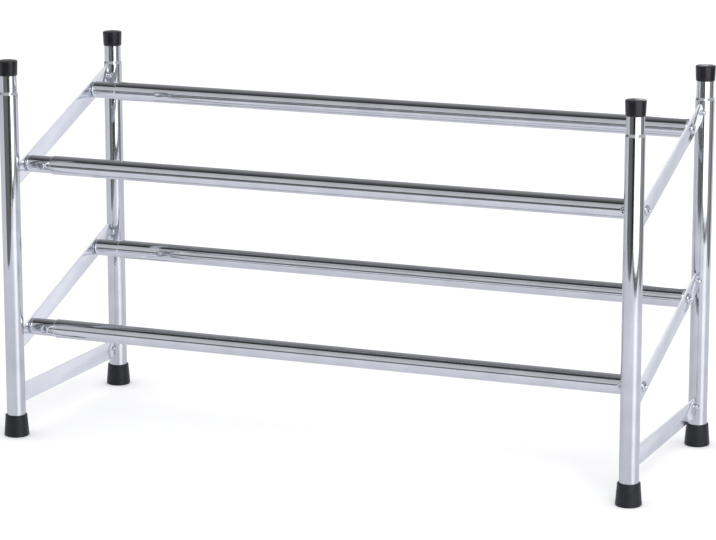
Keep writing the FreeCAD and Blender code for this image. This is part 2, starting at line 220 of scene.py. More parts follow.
def mesh_object(name: str, mesh: bpy.types.Mesh) -> bpy.types.Object:
    """Link a new object for a mesh.

    Args:
        name: the object's name.
        mesh: its mesh, with its place in its vertices.

    Returns:
        The object, at the origin.
    """
    thing = bpy.data.objects.new(name, mesh)
    bpy.context.scene.collection.objects.link(thing)
    return thing


def plain_mesh(name: str, spots: Sequence[Spot],
               faces: Sequence[tuple[int, ...]] = ()) -> bpy.types.Mesh:
    """Mesh of given points, loose or with faces on them.

    Args:
        name: the mesh's name.
        spots: the points, in millimetres.
        faces: numbers of each face's corners.

    Returns:
        The mesh, in metres.
    """
    mesh = bpy.data.meshes.new(name)
    mesh.from_pydata([metres(spot) for spot in spots], [], faces)
    return mesh


def finish_mesh(shape: bmesh.types.BMesh, name: str, crease: float = 32.0) -> bpy.types.Mesh:
    """Turn a bmesh to a smooth mesh with outward faces and sharp creases.

    Args:
        shape: the bmesh, in metres; it is freed.
        name: the mesh's name.
        crease: edges that turn by more degrees than this stay sharp.

    Returns:
        The mesh.
    """
    bmesh.ops.remove_doubles(shape, verts=shape.verts, dist=TOUCHING)
    bmesh.ops.recalc_face_normals(shape, faces=shape.faces)
    mesh = bpy.data.meshes.new(name)
    shape.to_mesh(mesh)
    shape.free()
    mesh.shade_smooth()
    mesh.set_sharp_from_angle(angle=math.radians(crease))
    return mesh


def arc(centre: Point, radius: float, start: float, finish: float, steps: int = 8) -> list[Point]:
    """Points of an arc in a profile.

    Args:
        centre: distance from the axis, and height.
        radius: the arc's radius.
        start: first angle in degrees, 0 pointing away from the axis.
        finish: last angle in degrees.
        steps: number of chords.

    Returns:
        The points, both ends included.
    """
    turns = [math.radians(start + (finish - start) * share) for share in shares(steps, 0)]
    return [(centre[0] + radius * math.cos(turn), centre[1] + radius * math.sin(turn))
            for turn in turns]


def lathe(name: str, profile: Sequence[Point], base: Spot, segments: int = 96,
          axis: Spot = (0.0, 0.0, 1.0)) -> bpy.types.Object:
    """Turn a closed profile about an axis.

    Args:
        name: the object's name.
        profile: (distance from the axis, height along it) points of the closed outline.
        base: foot of the axis.
        segments: number of sides.
        axis: direction of the axis.

    Returns:
        The turned object.
    """
    stand = (Matrix.Translation(Vector(base) * MM)
             @ Vector((0.0, 0.0, 1.0)).rotation_difference(Vector(axis)).to_matrix().to_4x4())
    turns = [math.tau * step / segments for step in range(segments)]
    shape = bmesh.new()
    rings: list[list[bmesh.types.BMVert]] = []
    for radius, height in profile:
        # A point on the axis is one vertex, not a ring.
        around = turns if radius * MM > TOUCHING else turns[:1]
        rings.append([shape.verts.new(stand @ (Vector((
            radius * math.cos(turn), radius * math.sin(turn), height)) * MM)) for turn in around])
    for ring, following in zip(rings, rings[1:] + rings[:1]):
        for step in range(segments):
            ahead = (step + 1) % segments
            corners = [ring[step % len(ring)], ring[ahead % len(ring)],
                       following[ahead % len(following)], following[step % len(following)]]
            unique = list(dict.fromkeys(corners))
            if len(unique) > 2:
                shape.faces.new(unique)
    return mesh_object(name, finish_mesh(shape, name))


def node_middle(node: str) -> Vector:
    """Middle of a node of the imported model, in millimetres."""
    low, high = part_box(node)
    return (low + high) * 0.5 / MM


# ---------------------------------------------------------------------------------------------
# Finishes
# ---------------------------------------------------------------------------------------------

@dataclass(frozen=True)
class ChromePlate:
    """Bright nickel-chrome plate on drawn steel.

    A hard blue-white mirror. Draw lines along the stock and a faint orange peel in the nickel
    bend the reflections a little, and handling leaves a haze that dulls it in patches. Where the
    stock was sheared or sawn, the torn steel shows through the plate and scatters the light.
    """

    name: str
    colour: str = "#C9CBCE"
    haze_colour: str = "#BDBFC4"
    roughness: tuple[float, float] = (0.035, 0.085)
    haze_size: float = 26.0
    # Levels of the haze's noise between which it grows rougher, and changes colour.
    roughened: tuple[float, float] = (0.35, 0.7)
    coloured: tuple[float, float] = (0.35, 0.72)
    peel_size: float = 7.0
    peel_depth: float = 0.0025
    draw_axis: int = 0
    # Real draw lines are some 0.05 mm apart; 0.9 mm is as fine as still shows.
    draw_pitch: float = 0.9
    draw_depth: float = 0.0003
    # The width of a draw line is this share of its length.
    draw_stretch: float = 0.004
    edge_scatter: float = 0.75
    edge_roughness: float = 0.5

    def build(self) -> bpy.types.Material:
        """Make the material.

        Returns:
            The material, with all its nodes.
        """
        material, tree, shader = new_material(self.name)
        place = add_node(tree, "ShaderNodeTexCoord").outputs["Object"]
        haze = add_node(tree, "ShaderNodeTexNoise",
                        {"Vector": place, "Scale": 1 / (self.haze_size * MM), "Detail": 3.0})
        dull = add_node(tree, "ShaderNodeMapRange", (haze, *self.roughened, *self.roughness))
        tint = add_node(tree, "ShaderNodeValToRGB", (haze,), stops=(
            (self.coloured[0], linear(self.colour)), (self.coloured[1], linear(self.haze_colour))))
        pitch = [1.0 / self.draw_pitch / MM] * 3
        pitch[self.draw_axis] *= self.draw_stretch
        along = add_node(tree, "ShaderNodeMapping", {"Vector": place, "Scale": tuple(pitch)})
        lines = add_node(tree, "ShaderNodeTexNoise",
                         {"Vector": along, "Scale": 1.0, "Detail": 2.0})
        peel = add_node(tree, "ShaderNodeTexNoise",
                        {"Vector": place, "Scale": 1 / (self.peel_size * MM), "Detail": 1.0})
        waved = add_node(tree, "ShaderNodeBump",
                         {"Height": peel, "Distance": self.peel_depth * MM, "Strength": 1.0})
        drawn = add_node(tree, "ShaderNodeBump", {
            "Height": lines, "Distance": self.draw_depth * MM, "Strength": 1.0, "Normal": waved,
        })
        sheared = add_node(tree, "ShaderNodeAttribute", attribute_name=SHEARED).outputs["Fac"]
        metal = add_node(tree, "ShaderNodeMapRange",
                         {"Value": sheared, "To Min": 1.0, "To Max": 1 - self.edge_scatter})
        torn = add_node(tree, MATH, (sheared, self.edge_roughness), operation="MULTIPLY")
        rough = add_node(tree, MATH, (torn, dull), operation="MAXIMUM")
        feed(tree, shader,
             {"Base Color": tint, "Metallic": metal, "Roughness": rough, "Normal": drawn})
        return material


@dataclass(frozen=True)
class MouldedPlastic:
    """Polyethylene, rubber or nylon, moulded in a fine-textured tool.

    A satin dielectric: a soft highlight, broken up by the tool's grain, with paler rubbed patches
    and a little dust.
    """

    name: str
    colour: str
    rubbed: str
    roughness: tuple[float, float]
    shine: float = 0.5
    ior: float = 1.51
    # The tool's grain is about 0.15 mm; it is drawn at 0.5 mm so that it shows.
    grain_size: float = 0.5
    grain_depth: float = 0.012
    patch_size: float = 9.0
    # Levels of the patches' noise between which they grow rougher, and paler.
    roughened: tuple[float, float] = (0.3, 0.7)
    coloured: tuple[float, float] = (0.38, 0.78)

    def build(self) -> bpy.types.Material:
        """Make the material.

        Returns:
            The material, with all its nodes.
        """
        material, tree, shader = new_material(self.name)
        place = add_node(tree, "ShaderNodeTexCoord").outputs["Object"]
        patch = add_node(tree, "ShaderNodeTexNoise",
                         {"Vector": place, "Scale": 1 / (self.patch_size * MM), "Detail": 4.0})
        tint = add_node(tree, "ShaderNodeValToRGB", (patch,), stops=(
            (self.coloured[0], linear(self.colour)), (self.coloured[1], linear(self.rubbed))))
        rough = add_node(tree, "ShaderNodeMapRange", (patch, *self.roughened, *self.roughness))
        grain = add_node(tree, "ShaderNodeTexNoise",
                         {"Vector": place, "Scale": 1 / (self.grain_size * MM), "Detail": 2.0})
        bump = add_node(tree, "ShaderNodeBump",
                        {"Height": grain, "Distance": self.grain_depth * MM, "Strength": 1.0})
        feed(tree, shader, {"Base Color": tint, "Roughness": rough, "Normal": bump,
                            "IOR": self.ior, "Specular IOR Level": self.shine})
        return material


@dataclass(frozen=True)
class TurnedSteel:
    """Plain steel bar, turned on a lathe: grey, with fine rings that scatter the light."""

    name: str
    colour: str = "#9C9DA0"
    roughness: tuple[float, float] = (0.28, 0.42)
    # A lathe's feed marks are some 0.2 mm apart; they are drawn at 3.77 mm so that they show.
    ring_pitch: float = 3.77
    ring_depth: float = 0.01
    unevenness: float = 0.4

    def build(self) -> bpy.types.Material:
        """Make the material.

        Returns:
            The material, with all its nodes.
        """
        material, tree, shader = new_material(self.name)
        place = add_node(tree, "ShaderNodeTexCoord").outputs["Object"]
        # At a scale of 1 the wave repeats every tau / 20.
        rings = add_node(tree, "ShaderNodeTexWave", {
            "Vector": place, "Scale": math.tau / 20 / (self.ring_pitch * MM),
            "Distortion": self.unevenness,
        }, bands_direction="X").outputs["Fac"]
        bump = add_node(tree, "ShaderNodeBump",
                        {"Height": rings, "Distance": self.ring_depth * MM})
        rough = add_node(tree, "ShaderNodeMapRange", (rings, 0.0, 1.0, *self.roughness))
        feed(tree, shader, {"Base Color": linear(self.colour), "Metallic": 1.0,
                            "Roughness": rough, "Normal": bump})
        return material


@dataclass(frozen=True)
class Finishes:
    """Every finish of the rack, made once."""

    rail: bpy.types.Material
    post: bpy.types.Material
    bar: bpy.types.Material
    weld: bpy.types.Material
    screw: bpy.types.Material
    cap: bpy.types.Material
    foot: bpy.types.Material
    nylon: bpy.types.Material
    steel: bpy.types.Material

    @classmethod
    def make(cls) -> Finishes:
        """Make all the materials.

        Returns:
            The finishes, by what they cover.
        """
        return cls(
            rail=ChromePlate("chrome_plate_on_drawn_tube", colour="#D4D6DB",
                             haze_colour="#C9CBD1").build(),
            post=ChromePlate("chrome_plate_on_post_tube", draw_axis=2).build(),
            # Rolled flat bar keeps a little of the mill's unevenness under the plate.
            bar=ChromePlate("chrome_plate_on_flat_bar", colour="#E4E7EB", haze_colour="#DBDEE4",
                            roughness=(0.05, 0.1), peel_size=11.0, peel_depth=0.005,
                            draw_axis=1).build(),
            # Weld metal is plated as it froze: rippled and lumpy.
            weld=ChromePlate("chrome_plate_on_weld_metal", roughness=(0.05, 0.14), haze_size=4.0,
                             peel_size=1.2, peel_depth=0.05).build(),
            screw=ChromePlate("chrome_plated_screw_steel", roughness=(0.06, 0.14), haze_size=3.0,
                              peel_size=1.5, peel_depth=0.004).build(),
            # Polyethylene is waxy: deep black, with a highlight that is fairly tight.
            cap=MouldedPlastic("moulded_black_polyethylene", "#0E0D13", "#17161D", (0.17, 0.24),
                               shine=0.38).build(),
            # Rubber is duller, and dust from the floor greys it.
            foot=MouldedPlastic("moulded_black_rubber", "#0F1117", "#1A1C24", (0.34, 0.44),
                                shine=0.32).build(),
            # Nylon without a dye is milky white and waxy.
            nylon=MouldedPlastic("natural_nylon", "#D9D8CF", "#C9C7BB", (0.3, 0.45)).build(),
            steel=TurnedSteel("turned_plain_steel").build(),
        )


# ---------------------------------------------------------------------------------------------
# Geometry trees
# ---------------------------------------------------------------------------------------------

class GeometryTree:
    """A Geometry Nodes tree with named inputs, and the mesh that it makes."""

    SOCKETS = {float: "NodeSocketFloat", int: "NodeSocketInt", tuple: "NodeSocketVector"}

    def __init__(self, name: str, sizes: dict[str, float | int | Spot]) -> None:
        """Start a tree.

        Args:
            name: the tree's name.
            sizes: value of each named input, in metres or radians.
        """
        self.tree = bpy.data.node_groups.new(name, "GeometryNodeTree")
        for way in ("INPUT", "OUTPUT"):
            self.tree.interface.new_socket("Geometry", in_out=way,
                                           socket_type="NodeSocketGeometry")
        self.values: dict[str, Any] = {}
        for label, value in sizes.items():
            item = self.tree.interface.new_socket(label, in_out="INPUT",
                                                  socket_type=self.SOCKETS[type(value)])
            self.values[item.identifier] = value
        self.given = self.tree.nodes.new("NodeGroupInput")

    def size(self, label: str) -> Socket:
        """Output of the group's input node with this name."""
        return self.given.outputs[label]

    def add(self, kind: str, inputs: dict[Any, Any] | Sequence[Any] = (),
            **settings: Any) -> bpy.types.Node:
        """Add a node to the tree, as add_node does."""
        return add_node(self.tree, kind, inputs, **settings)

    def place(self) -> Sequence[Socket]:
        """Coordinates X, Y and Z of each point of the mesh."""
        return self.add("ShaderNodeSeparateXYZ", (self.add("GeometryNodeInputPosition"),)).outputs

    def close(self, geometry: bpy.types.Node, finish: bpy.types.Material) -> None:
        """End the tree with smooth faces, real geometry and a material.

        Args:
            geometry: the node that the shape comes out of.
            finish: the material of all of it.
        """
        smooth = self.add("GeometryNodeSetShadeSmooth", {"Geometry": geometry})
        real = self.add("GeometryNodeRealizeInstances", {"Geometry": smooth})
        dressed = self.add("GeometryNodeSetMaterial", {"Geometry": real, "Material": finish})
        self.add("NodeGroupOutput", (dressed,))

    def make(self, name: str, seed_mesh: bpy.types.Mesh, crease: float) -> bpy.types.Object:
        """Run the tree on a mesh and keep the result as a plain mesh.

        Args:
            name: the object's name.
            seed_mesh: the mesh that the tree starts from.
            crease: edges that turn by more degrees than this stay sharp.

        Returns:
            The finished object, with no modifier left.
        """
        thing = mesh_object(name, seed_mesh)
        modifier = thing.modifiers.new("shape", "NODES")
        modifier.node_group = self.tree
        for identifier, value in self.values.items():
            modifier[identifier] = value
        bpy.context.view_layer.update()
        evaluated = thing.evaluated_get(bpy.context.evaluated_depsgraph_get())
        mesh = bpy.data.meshes.new_from_object(evaluated)
        mesh.name = name
        mesh.set_sharp_from_angle(angle=math.radians(crease))
        thing.modifiers.clear()
        thing.data = mesh
        return thing


# ---------------------------------------------------------------------------------------------
# End frames
# ---------------------------------------------------------------------------------------------

@dataclass
class Post:
    """Upright tube with a reduced neck, its push-on cap and its ferrule foot."""

    side: Side
    row: Row
    radius: float = 9.0
    wall: float = 0.7
    neck_radius: float = 8.15
    foot_floor: float = 4.0
    shoulder_height: float = 331.5
    neck_height: float = 335.0
    top_height: float = 362.5
    swage_length: float = 3.0
    cap_bottom: float = 350.0
    cap_height: float = 15.0
    cap_roof: float = 2.5
    cap_top_radius: float = 9.5
    cap_mouth_radius: float = 8.9
    cap_edge: float = 1.0
    cap_dome: float = 0.9
    # Below 1, the cap's skirt widens mostly near its mouth.
    cap_flare: float = 0.8
    foot_height: float = 21.0
    foot_base_radius: float = 12.0
    foot_mouth_radius: float = 10.5
    foot_edge: float = 1.6
    foot_lip: float = 0.6
    ring_heights: tuple[float, float] = (4.2, 17.6)
    ring_depth: float = 0.14
    ring_width: float = 0.35
    fit: float = 0.05

    @property
    def name(self) -> str:
        """Name shared by this post's nodes."""
        return "%s_%s" % (self.side.name.lower(), self.row.name.lower())

    @property
    def foot_of_axis(self) -> Spot:
        """Where the post's axis meets the floor."""
        middle = node_middle(self.name + "_post")
        return middle.x, middle.y, 0.0

    def tube_profile(self) -> list[Point]:
        """Outline of the tube's wall, with the shoulder rolled in a soft S.

        Returns:
            Distances from the axis and heights.
        """
        drop = self.radius - self.neck_radius
        low = (self.shoulder_height + self.neck_height - self.swage_length) / 2
        swage = []
        for share in shares(16, 0):
            ease = share * share * (3 - 2 * share)
            swage.append((self.radius - drop * ease, low + self.swage_length * share))
        inner = [(radius - self.wall, height) for radius, height in reversed(swage)]
        return [
            (self.radius, self.foot_floor), *swage, (self.neck_radius, self.top_height),
            (self.neck_radius - self.wall, self.top_height), *inner,
            (self.radius - self.wall, self.foot_floor),
        ]

    def cap_profile(self) -> list[Point]:
        """Outline of the cap: domed top, rounded edge, tapered skirt with a rounded mouth.

        Returns:
            Distances from the axis and heights above the mouth.
        """
        top, edge = self.cap_height - self.cap_dome, self.cap_edge
        flat = self.cap_top_radius - edge
        bore = self.neck_radius + self.fit
        lip = (self.cap_mouth_radius - bore) / 2
        flare = self.cap_top_radius - self.cap_mouth_radius
        skirt = [(self.cap_mouth_radius + flare * share ** self.cap_flare,
                  lip + (top - edge - lip) * share) for share in shares(8)]
        dome = [(flat * (1 - share), top + self.cap_dome * (1 - (1 - share) ** 2))
                for share in shares(10)]
        roof = self.cap_height - self.cap_roof
        return [
            *arc((bore + lip, lip), lip, 180, 360), *skirt,
            *arc((flat, top - edge), edge, 0, 90)[1:], *dome, (0.0, roof), (bore, roof),
        ]

    def foot_profile(self) -> list[Point]:
        """Outline of the foot: solid floor, flared side with two moulded rings, rolled mouth.

        Returns:
            Distances from the axis and heights.
        """
        bore = self.radius + self.fit
        edge, lip = self.foot_edge, self.foot_lip
        taper = self.foot_mouth_radius - self.foot_base_radius
        side = []
        for share in shares(40):
            height = edge + (self.foot_height - lip - edge) * share
            groove = sum(self.ring_depth * math.exp(-((height - place) / self.ring_width) ** 2)
                         for place in self.ring_heights)
            side.append((self.foot_base_radius + taper * share - groove, height))
        return [
            (0.0, 0.0), *arc((self.foot_base_radius - edge, edge), edge, -90, 0), *side,
            *arc((self.foot_mouth_radius - lip, self.foot_height - lip), lip, 0, 90, 6)[1:],
            (bore, self.foot_height), (bore, self.foot_floor), (0.0, self.foot_floor),
        ]

    def build(self) -> dict[str, bpy.types.Object]:
        """Make the tube, the cap and the foot.

        Returns:
            The three objects by the node that each stands for.
        """
        axis = self.foot_of_axis
        cap_base = (axis[0], axis[1], self.cap_bottom)
        return {
            self.name + "_post": lathe(self.name + "_tube", self.tube_profile(), axis, 128),
            self.name + "_cap": lathe(self.name + "_end_cap", self.cap_profile(), cap_base),
            self.name + "_foot": lathe(self.name + "_ferrule", self.foot_profile(), axis),
        }


@dataclass
class FlatBar:
    """Flat bar with round ends, welded between two posts. The sloping ones carry the rails."""

    side: Side
    level: BarLevel
    width: float = 18.5
    thickness: float = 2.0
    reach: float = 99.03
    nose: float = 90.15
    rise: float = 51.5
    run: float = 137.0
    edge: float = 0.35
    weld_inset: float = 0.5
    weld_off_face: float = 0.7

    @property
    def node(self) -> str:
        """Node that this bar stands for."""
        return "%s_%s_bar" % (self.side.name.lower(), self.level.value)

    @property
    def slope(self) -> float:
        """Rise of the bar for each millimetre to the rear."""
        return 0.0 if self.level is BarLevel.BASE else self.rise / self.run

    def centre(self, y: float) -> float:
        """Height of the bar's centre line above the floor, at this depth."""
        return node_middle(self.node).z + self.slope * y

    def outline(self) -> list[Point]:
        """Outline of the bar: two straight edges and two half rounds that meet the posts.

        Returns:
            Depths and heights of the corners, in order.
        """
        lean, radius = math.atan(self.slope), self.width / 2
        corners = []
        for row in (Row.REAR, Row.FRONT):
            middle_y = row.value * self.nose
            for share in shares(28, 0):
                angle = lean - row.value * math.pi / 2 + math.pi * share
                y = max(-self.reach, min(self.reach, middle_y + radius * math.cos(angle)))
                corners.append((y, self.centre(middle_y) + radius * math.sin(angle)))
        return corners

    def weld_spots(self) -> list[Spot]:
        """Where the tips of the bar's round ends meet the posts, on both of its faces.

        Returns:
            The four places, a little inside the tips.
        """
        off_middle = self.thickness / 2 + self.weld_off_face
        return [
            (node_middle(self.node).x + face * off_middle,
             row.value * (self.reach - self.weld_inset), self.centre(row.value * self.nose))
            for row in Row for face in (-1, 1)
        ]

    def build(self) -> bpy.types.Object:
        """Make the bar, with sheared edges rolled round.

        Returns:
            The bar, with its sheared faces marked.
        """
        shape = bmesh.new()
        face_x = node_middle(self.node).x - self.thickness / 2
        corners = [shape.verts.new(metres((face_x, y, z))) for y, z in self.outline()]
        face = shape.faces.new(corners)
        raised = bmesh.ops.extrude_face_region(shape, geom=[face])["geom"]
        moved = [part for part in raised if isinstance(part, bmesh.types.BMVert)]
        bmesh.ops.translate(shape, verts=moved, vec=(self.thickness * MM, 0, 0))
        rims = [edge for edge in shape.edges
                if abs(edge.verts[0].co.x - edge.verts[1].co.x) < TOUCHING]
        bmesh.ops.bevel(shape, geom=rims, offset=self.edge * MM, segments=4,
                        profile=0.5, affect="EDGES")
        mesh = finish_mesh(shape, self.node, 40)
        cut = mesh.attributes.new(SHEARED, "FLOAT", "FACE")
        # The flat faces look along X; the sheared edge and its rolled corners look away from it.
        flat = 0.8
        for face, mark in zip(mesh.polygons, cut.data):
            mark.value = float(abs(face.normal.x) < flat)
        return mesh_object(self.node + "_plate", mesh)


@dataclass
class WeldNuggets:
    """Nuggets of weld metal, one on each face of the bars at the tips of their ends."""

    side: Side
    size: float = 4.9
    # Each nugget is turned by up to this, in radians, and is this much of the size.
    tilt: float = 0.3
    smallest: Spot = (0.8, 0.8, 0.9)
    largest: Spot = (0.95, 0.95, 1.3)
    # Frozen weld metal ripples at about a millimetre.
    ripple_size: float = 1.9
    ripple_height: float = 1.1
    # Level of the ripples' noise that leaves the metal where it is.
    ripple_middle: float = 0.55
    seed: int = 7

    def build(self, spots: Sequence[Spot], finish: bpy.types.Material) -> bpy.types.Object:
        """Make all the nuggets of an end frame.

        Args:
            spots: where they sit, in millimetres.
            finish: their material.

        Returns:
            The nuggets, as one object.
        """
        tree = GeometryTree("weld_nuggets", {
            "Size": self.size * MM, "Ripple Size": self.ripple_size * MM,
            "Ripple Height": self.ripple_height * MM, "Seed": self.seed + self.side.value,
        })
        bead = tree.add("GeometryNodeMeshIcoSphere", {"Radius": 0.5, "Subdivisions": 5})
        turn, stretch = (
            tree.add("FunctionNodeRandomValue",
                     {"Min": least, "Max": most, "Seed": tree.size("Seed")},
                     data_type="FLOAT_VECTOR")
            for least, most in (((-self.tilt,) * 3, (self.tilt,) * 3),
                                (self.smallest, self.largest))
        )
        scale = tree.add("ShaderNodeVectorMath", {0: stretch, "Scale": tree.size("Size")},
                         operation="SCALE")
        beads = tree.add("GeometryNodeInstanceOnPoints", {
            "Points": tree.size("Geometry"), "Instance": bead, "Rotation": turn, "Scale": scale,
        })
        real = tree.add("GeometryNodeRealizeInstances", {"Geometry": beads})
        fineness = tree.add(MATH, (1.0, tree.size("Ripple Size")), operation="DIVIDE")
        noise = tree.add("ShaderNodeTexNoise", {
            "Vector": tree.add("GeometryNodeInputPosition"), "Scale": fineness, "Detail": 2.0,
        })
        ripple = tree.add(MATH, (noise, self.ripple_middle), operation="SUBTRACT")
        lift = tree.add(MATH, (ripple, tree.size("Ripple Height")), operation="MULTIPLY")
        offset = tree.add("ShaderNodeVectorMath",
                          {0: tree.add("GeometryNodeInputNormal"), "Scale": lift},
                          operation="SCALE")
        rippled = tree.add("GeometryNodeSetPosition", {"Geometry": real, "Offset": offset})
        tree.close(rippled, finish)
        name = "%s_weld_beads" % self.side.name.lower()
        return tree.make(name, plain_mesh(name + "_spots", spots), 180)


@dataclass
class RailScrews:
    """Domed cross-recessed screws that hold the rails to the sloping bars."""

    side: Side
    head_radius: float = 5.0
    rim: float = 1.2
    height: float = 2.8
    edge: float = 0.25
    recess_span: float = 5.2
    recess_width: float = 1.2
    recess_depth: float = 1.4
    # The recess narrows to this share of its width at its floor.
    recess_taper: float = 0.62
    shank_radius: float = 2.45
    shank_length: float = 16.0
    seed: int = 3

    def blank(self) -> bpy.types.Object:
        """One screw along +Z without its recess, its head's seat at the origin.

        Returns:
            The screw.
        """
        crown = self.height - self.rim
        ball = (self.head_radius ** 2 / crown + crown) / 2
        top = self.head_radius - self.edge
        dome = []
        for share in shares(14):
            radius = top * (1 - share)
            dome.append((radius, self.height - ball + math.sqrt(ball ** 2 - radius ** 2)))
        return lathe("screw_blank", [
            (0.0, -self.shank_length), (self.shank_radius, -self.shank_length),
            (self.shank_radius, 0.0), (top, 0.0),
            *arc((top, self.edge), self.edge, -90, 0, 4)[1:],
            (self.head_radius, self.rim - self.edge), *dome,
        ], (0.0, 0.0, 0.0), 64)

    def recess_arm(self, turn: float) -> bpy.types.Object:
        """One arm of the cross, as a tapered block that stands proud of the head.

        Args:
            turn: the arm's turn about the screw, in degrees.

        Returns:
            The block that the arm is cut with.
        """
        proud = 0.5
        shape = bmesh.new()
        bmesh.ops.create_cube(shape, size=1.0)
        for corner in shape.verts:
            taper = self.recess_taper if corner.co.z < 0 else 1.0
            corner.co.x *= self.recess_span * taper
            corner.co.y *= self.recess_width * taper
            corner.co.z = self.height + (proud if corner.co.z > 0 else -self.recess_depth)
        bmesh.ops.rotate(shape, verts=shape.verts, cent=(0, 0, 0),
                         matrix=Matrix.Rotation(math.radians(turn), 3, "Z"))
        bmesh.ops.scale(shape, verts=shape.verts, vec=(MM, MM, MM))
        return mesh_object("recess", finish_mesh(shape, "recess", 30))

    def screw(self) -> bpy.types.Mesh:
        """One screw with its recess cut.

        Returns:
            The screw's mesh, in metres.
        """
        blank = self.blank()
        arms = [self.recess_arm(turn) for turn in (0.0, 90.0)]
        for arm in arms:
            cut = blank.modifiers.new("recess", "BOOLEAN")
            cut.operation = "DIFFERENCE"
            cut.solver = "EXACT"
            cut.object = arm
        evaluated = blank.evaluated_get(bpy.context.evaluated_depsgraph_get())
        mesh = bpy.data.meshes.new_from_object(evaluated)
        for thing in (blank, *arms):
            bpy.data.objects.remove(thing)
        return mesh

    def build(self, low_front: Spot, step_back: Spot, step_up: float,
              finish: bpy.types.Material) -> bpy.types.Object:
        """Set the four screws of an end frame on the rails' axes.

        Args:
            low_front: seat of the lower front screw's head, in millimetres.
            step_back: from a front rail to the rear rail of the same tier.
            step_up: from the lower tier to the upper tier.
            finish: their material.

        Returns:
            The screws, as one object.
        """
        tree = GeometryTree("rail_screws", {
            "First": metres(low_front), "To Rear": metres(step_back), "To Upper": step_up * MM,
            "Outwards": math.radians(90 * self.side.value), "Seed": self.seed,
        })
        ends = tree.add("GeometryNodeMeshLine", {
            "Count": 2, "Start Location": tree.size("First"), "Offset": tree.size("To Rear"),
        })
        up = tree.add("ShaderNodeCombineXYZ", {"Z": tree.size("To Upper")})
        raised = tree.add("GeometryNodeTransform", {"Geometry": ends, "Translation": up})
        spots = tree.add("GeometryNodeJoinGeometry", {"Geometry": [ends, raised]})
        outwards = tree.add("ShaderNodeCombineXYZ", {"Y": tree.size("Outwards")})
        laid = tree.add("GeometryNodeInstanceOnPoints", {
            "Points": spots, "Instance": tree.size("Geometry"), "Rotation": outwards,
        })
        # Inputs 2 and 3 are the least and the most of a plain number.
        turn = tree.add("FunctionNodeRandomValue",
                        {2: 0.0, 3: math.pi / 2, "Seed": tree.size("Seed")}, data_type="FLOAT")
        spin = tree.add("ShaderNodeCombineXYZ", {"Z": turn.outputs[1]})
        spun = tree.add("GeometryNodeRotateInstances", {"Instances": laid, "Rotation": spin})
        tree.close(spun, finish)
        return tree.make("%s_screws" % self.side.name.lower(), self.screw(), 30)


@dataclass
class EndFrame:
    """One welded end frame: two posts, three flat bars, the welds and the rails' screws."""

    side: Side

    def build(self, finishes: Finishes) -> list[bpy.types.Object]:
        """Make and dress every piece of the frame.

        Args:
            finishes: the rack's materials.

        Returns:
            The pieces.
        """
        pieces = []
        looks = {"post": (finishes.post, "chromed_tube"), "cap": (finishes.cap, "black_plastic"),
                 "foot": (finishes.foot, "black_rubber")}
        for row in Row:
            for node, thing in Post(self.side, row).build().items():
                finish, slot = looks[node.rsplit("_", 1)[1]]
                pieces.append(dress(thing, finish, self.side.body, node))
        bars = [FlatBar(self.side, level) for level in BarLevel]
        for bar in bars:
            pieces.append(dress(bar.build(), finishes.bar, self.side.body,
                                bar.node))
        spots = [spot for bar in bars for spot in bar.weld_spots()]
        welds = WeldNuggets(self.side).build(spots, finishes.weld)
        pieces.append(dress(welds, finishes.weld, self.side.body,
                            "%s_weld_nuggets" % self.side.name.lower()))
        pieces.append(self.make_screws(finishes))
        return pieces

    def make_screws(self, finishes: Finishes) -> bpy.types.Object:
        """Make the frame's screws on the axes of its rails.

        Args:
            finishes: the rack's materials.

        Returns:
            The four screws, dressed, as one object.
        """
        low_front, low_rear, high_front = (
            node_middle(rail + "_outer_tube") for rail in ("front_lower", "rear_lower",
                                                           "front_upper"))
        bar = node_middle("%s_base_bar" % self.side.name.lower())
        seat = bar.x + self.side.value * FlatBar.thickness / 2
        step_back = (0.0, low_rear.y - low_front.y, low_rear.z - low_front.z)
        screws = RailScrews(self.side).build((seat, low_front.y, low_front.z), step_back,
                                             high_front.z - low_front.z, finishes.screw)
        return dress(screws, finishes.screw, self.side.body,
                     "%s_rail_screws" % self.side.name.lower())


# ---------------------------------------------------------------------------------------------
# Rails
# ---------------------------------------------------------------------------------------------

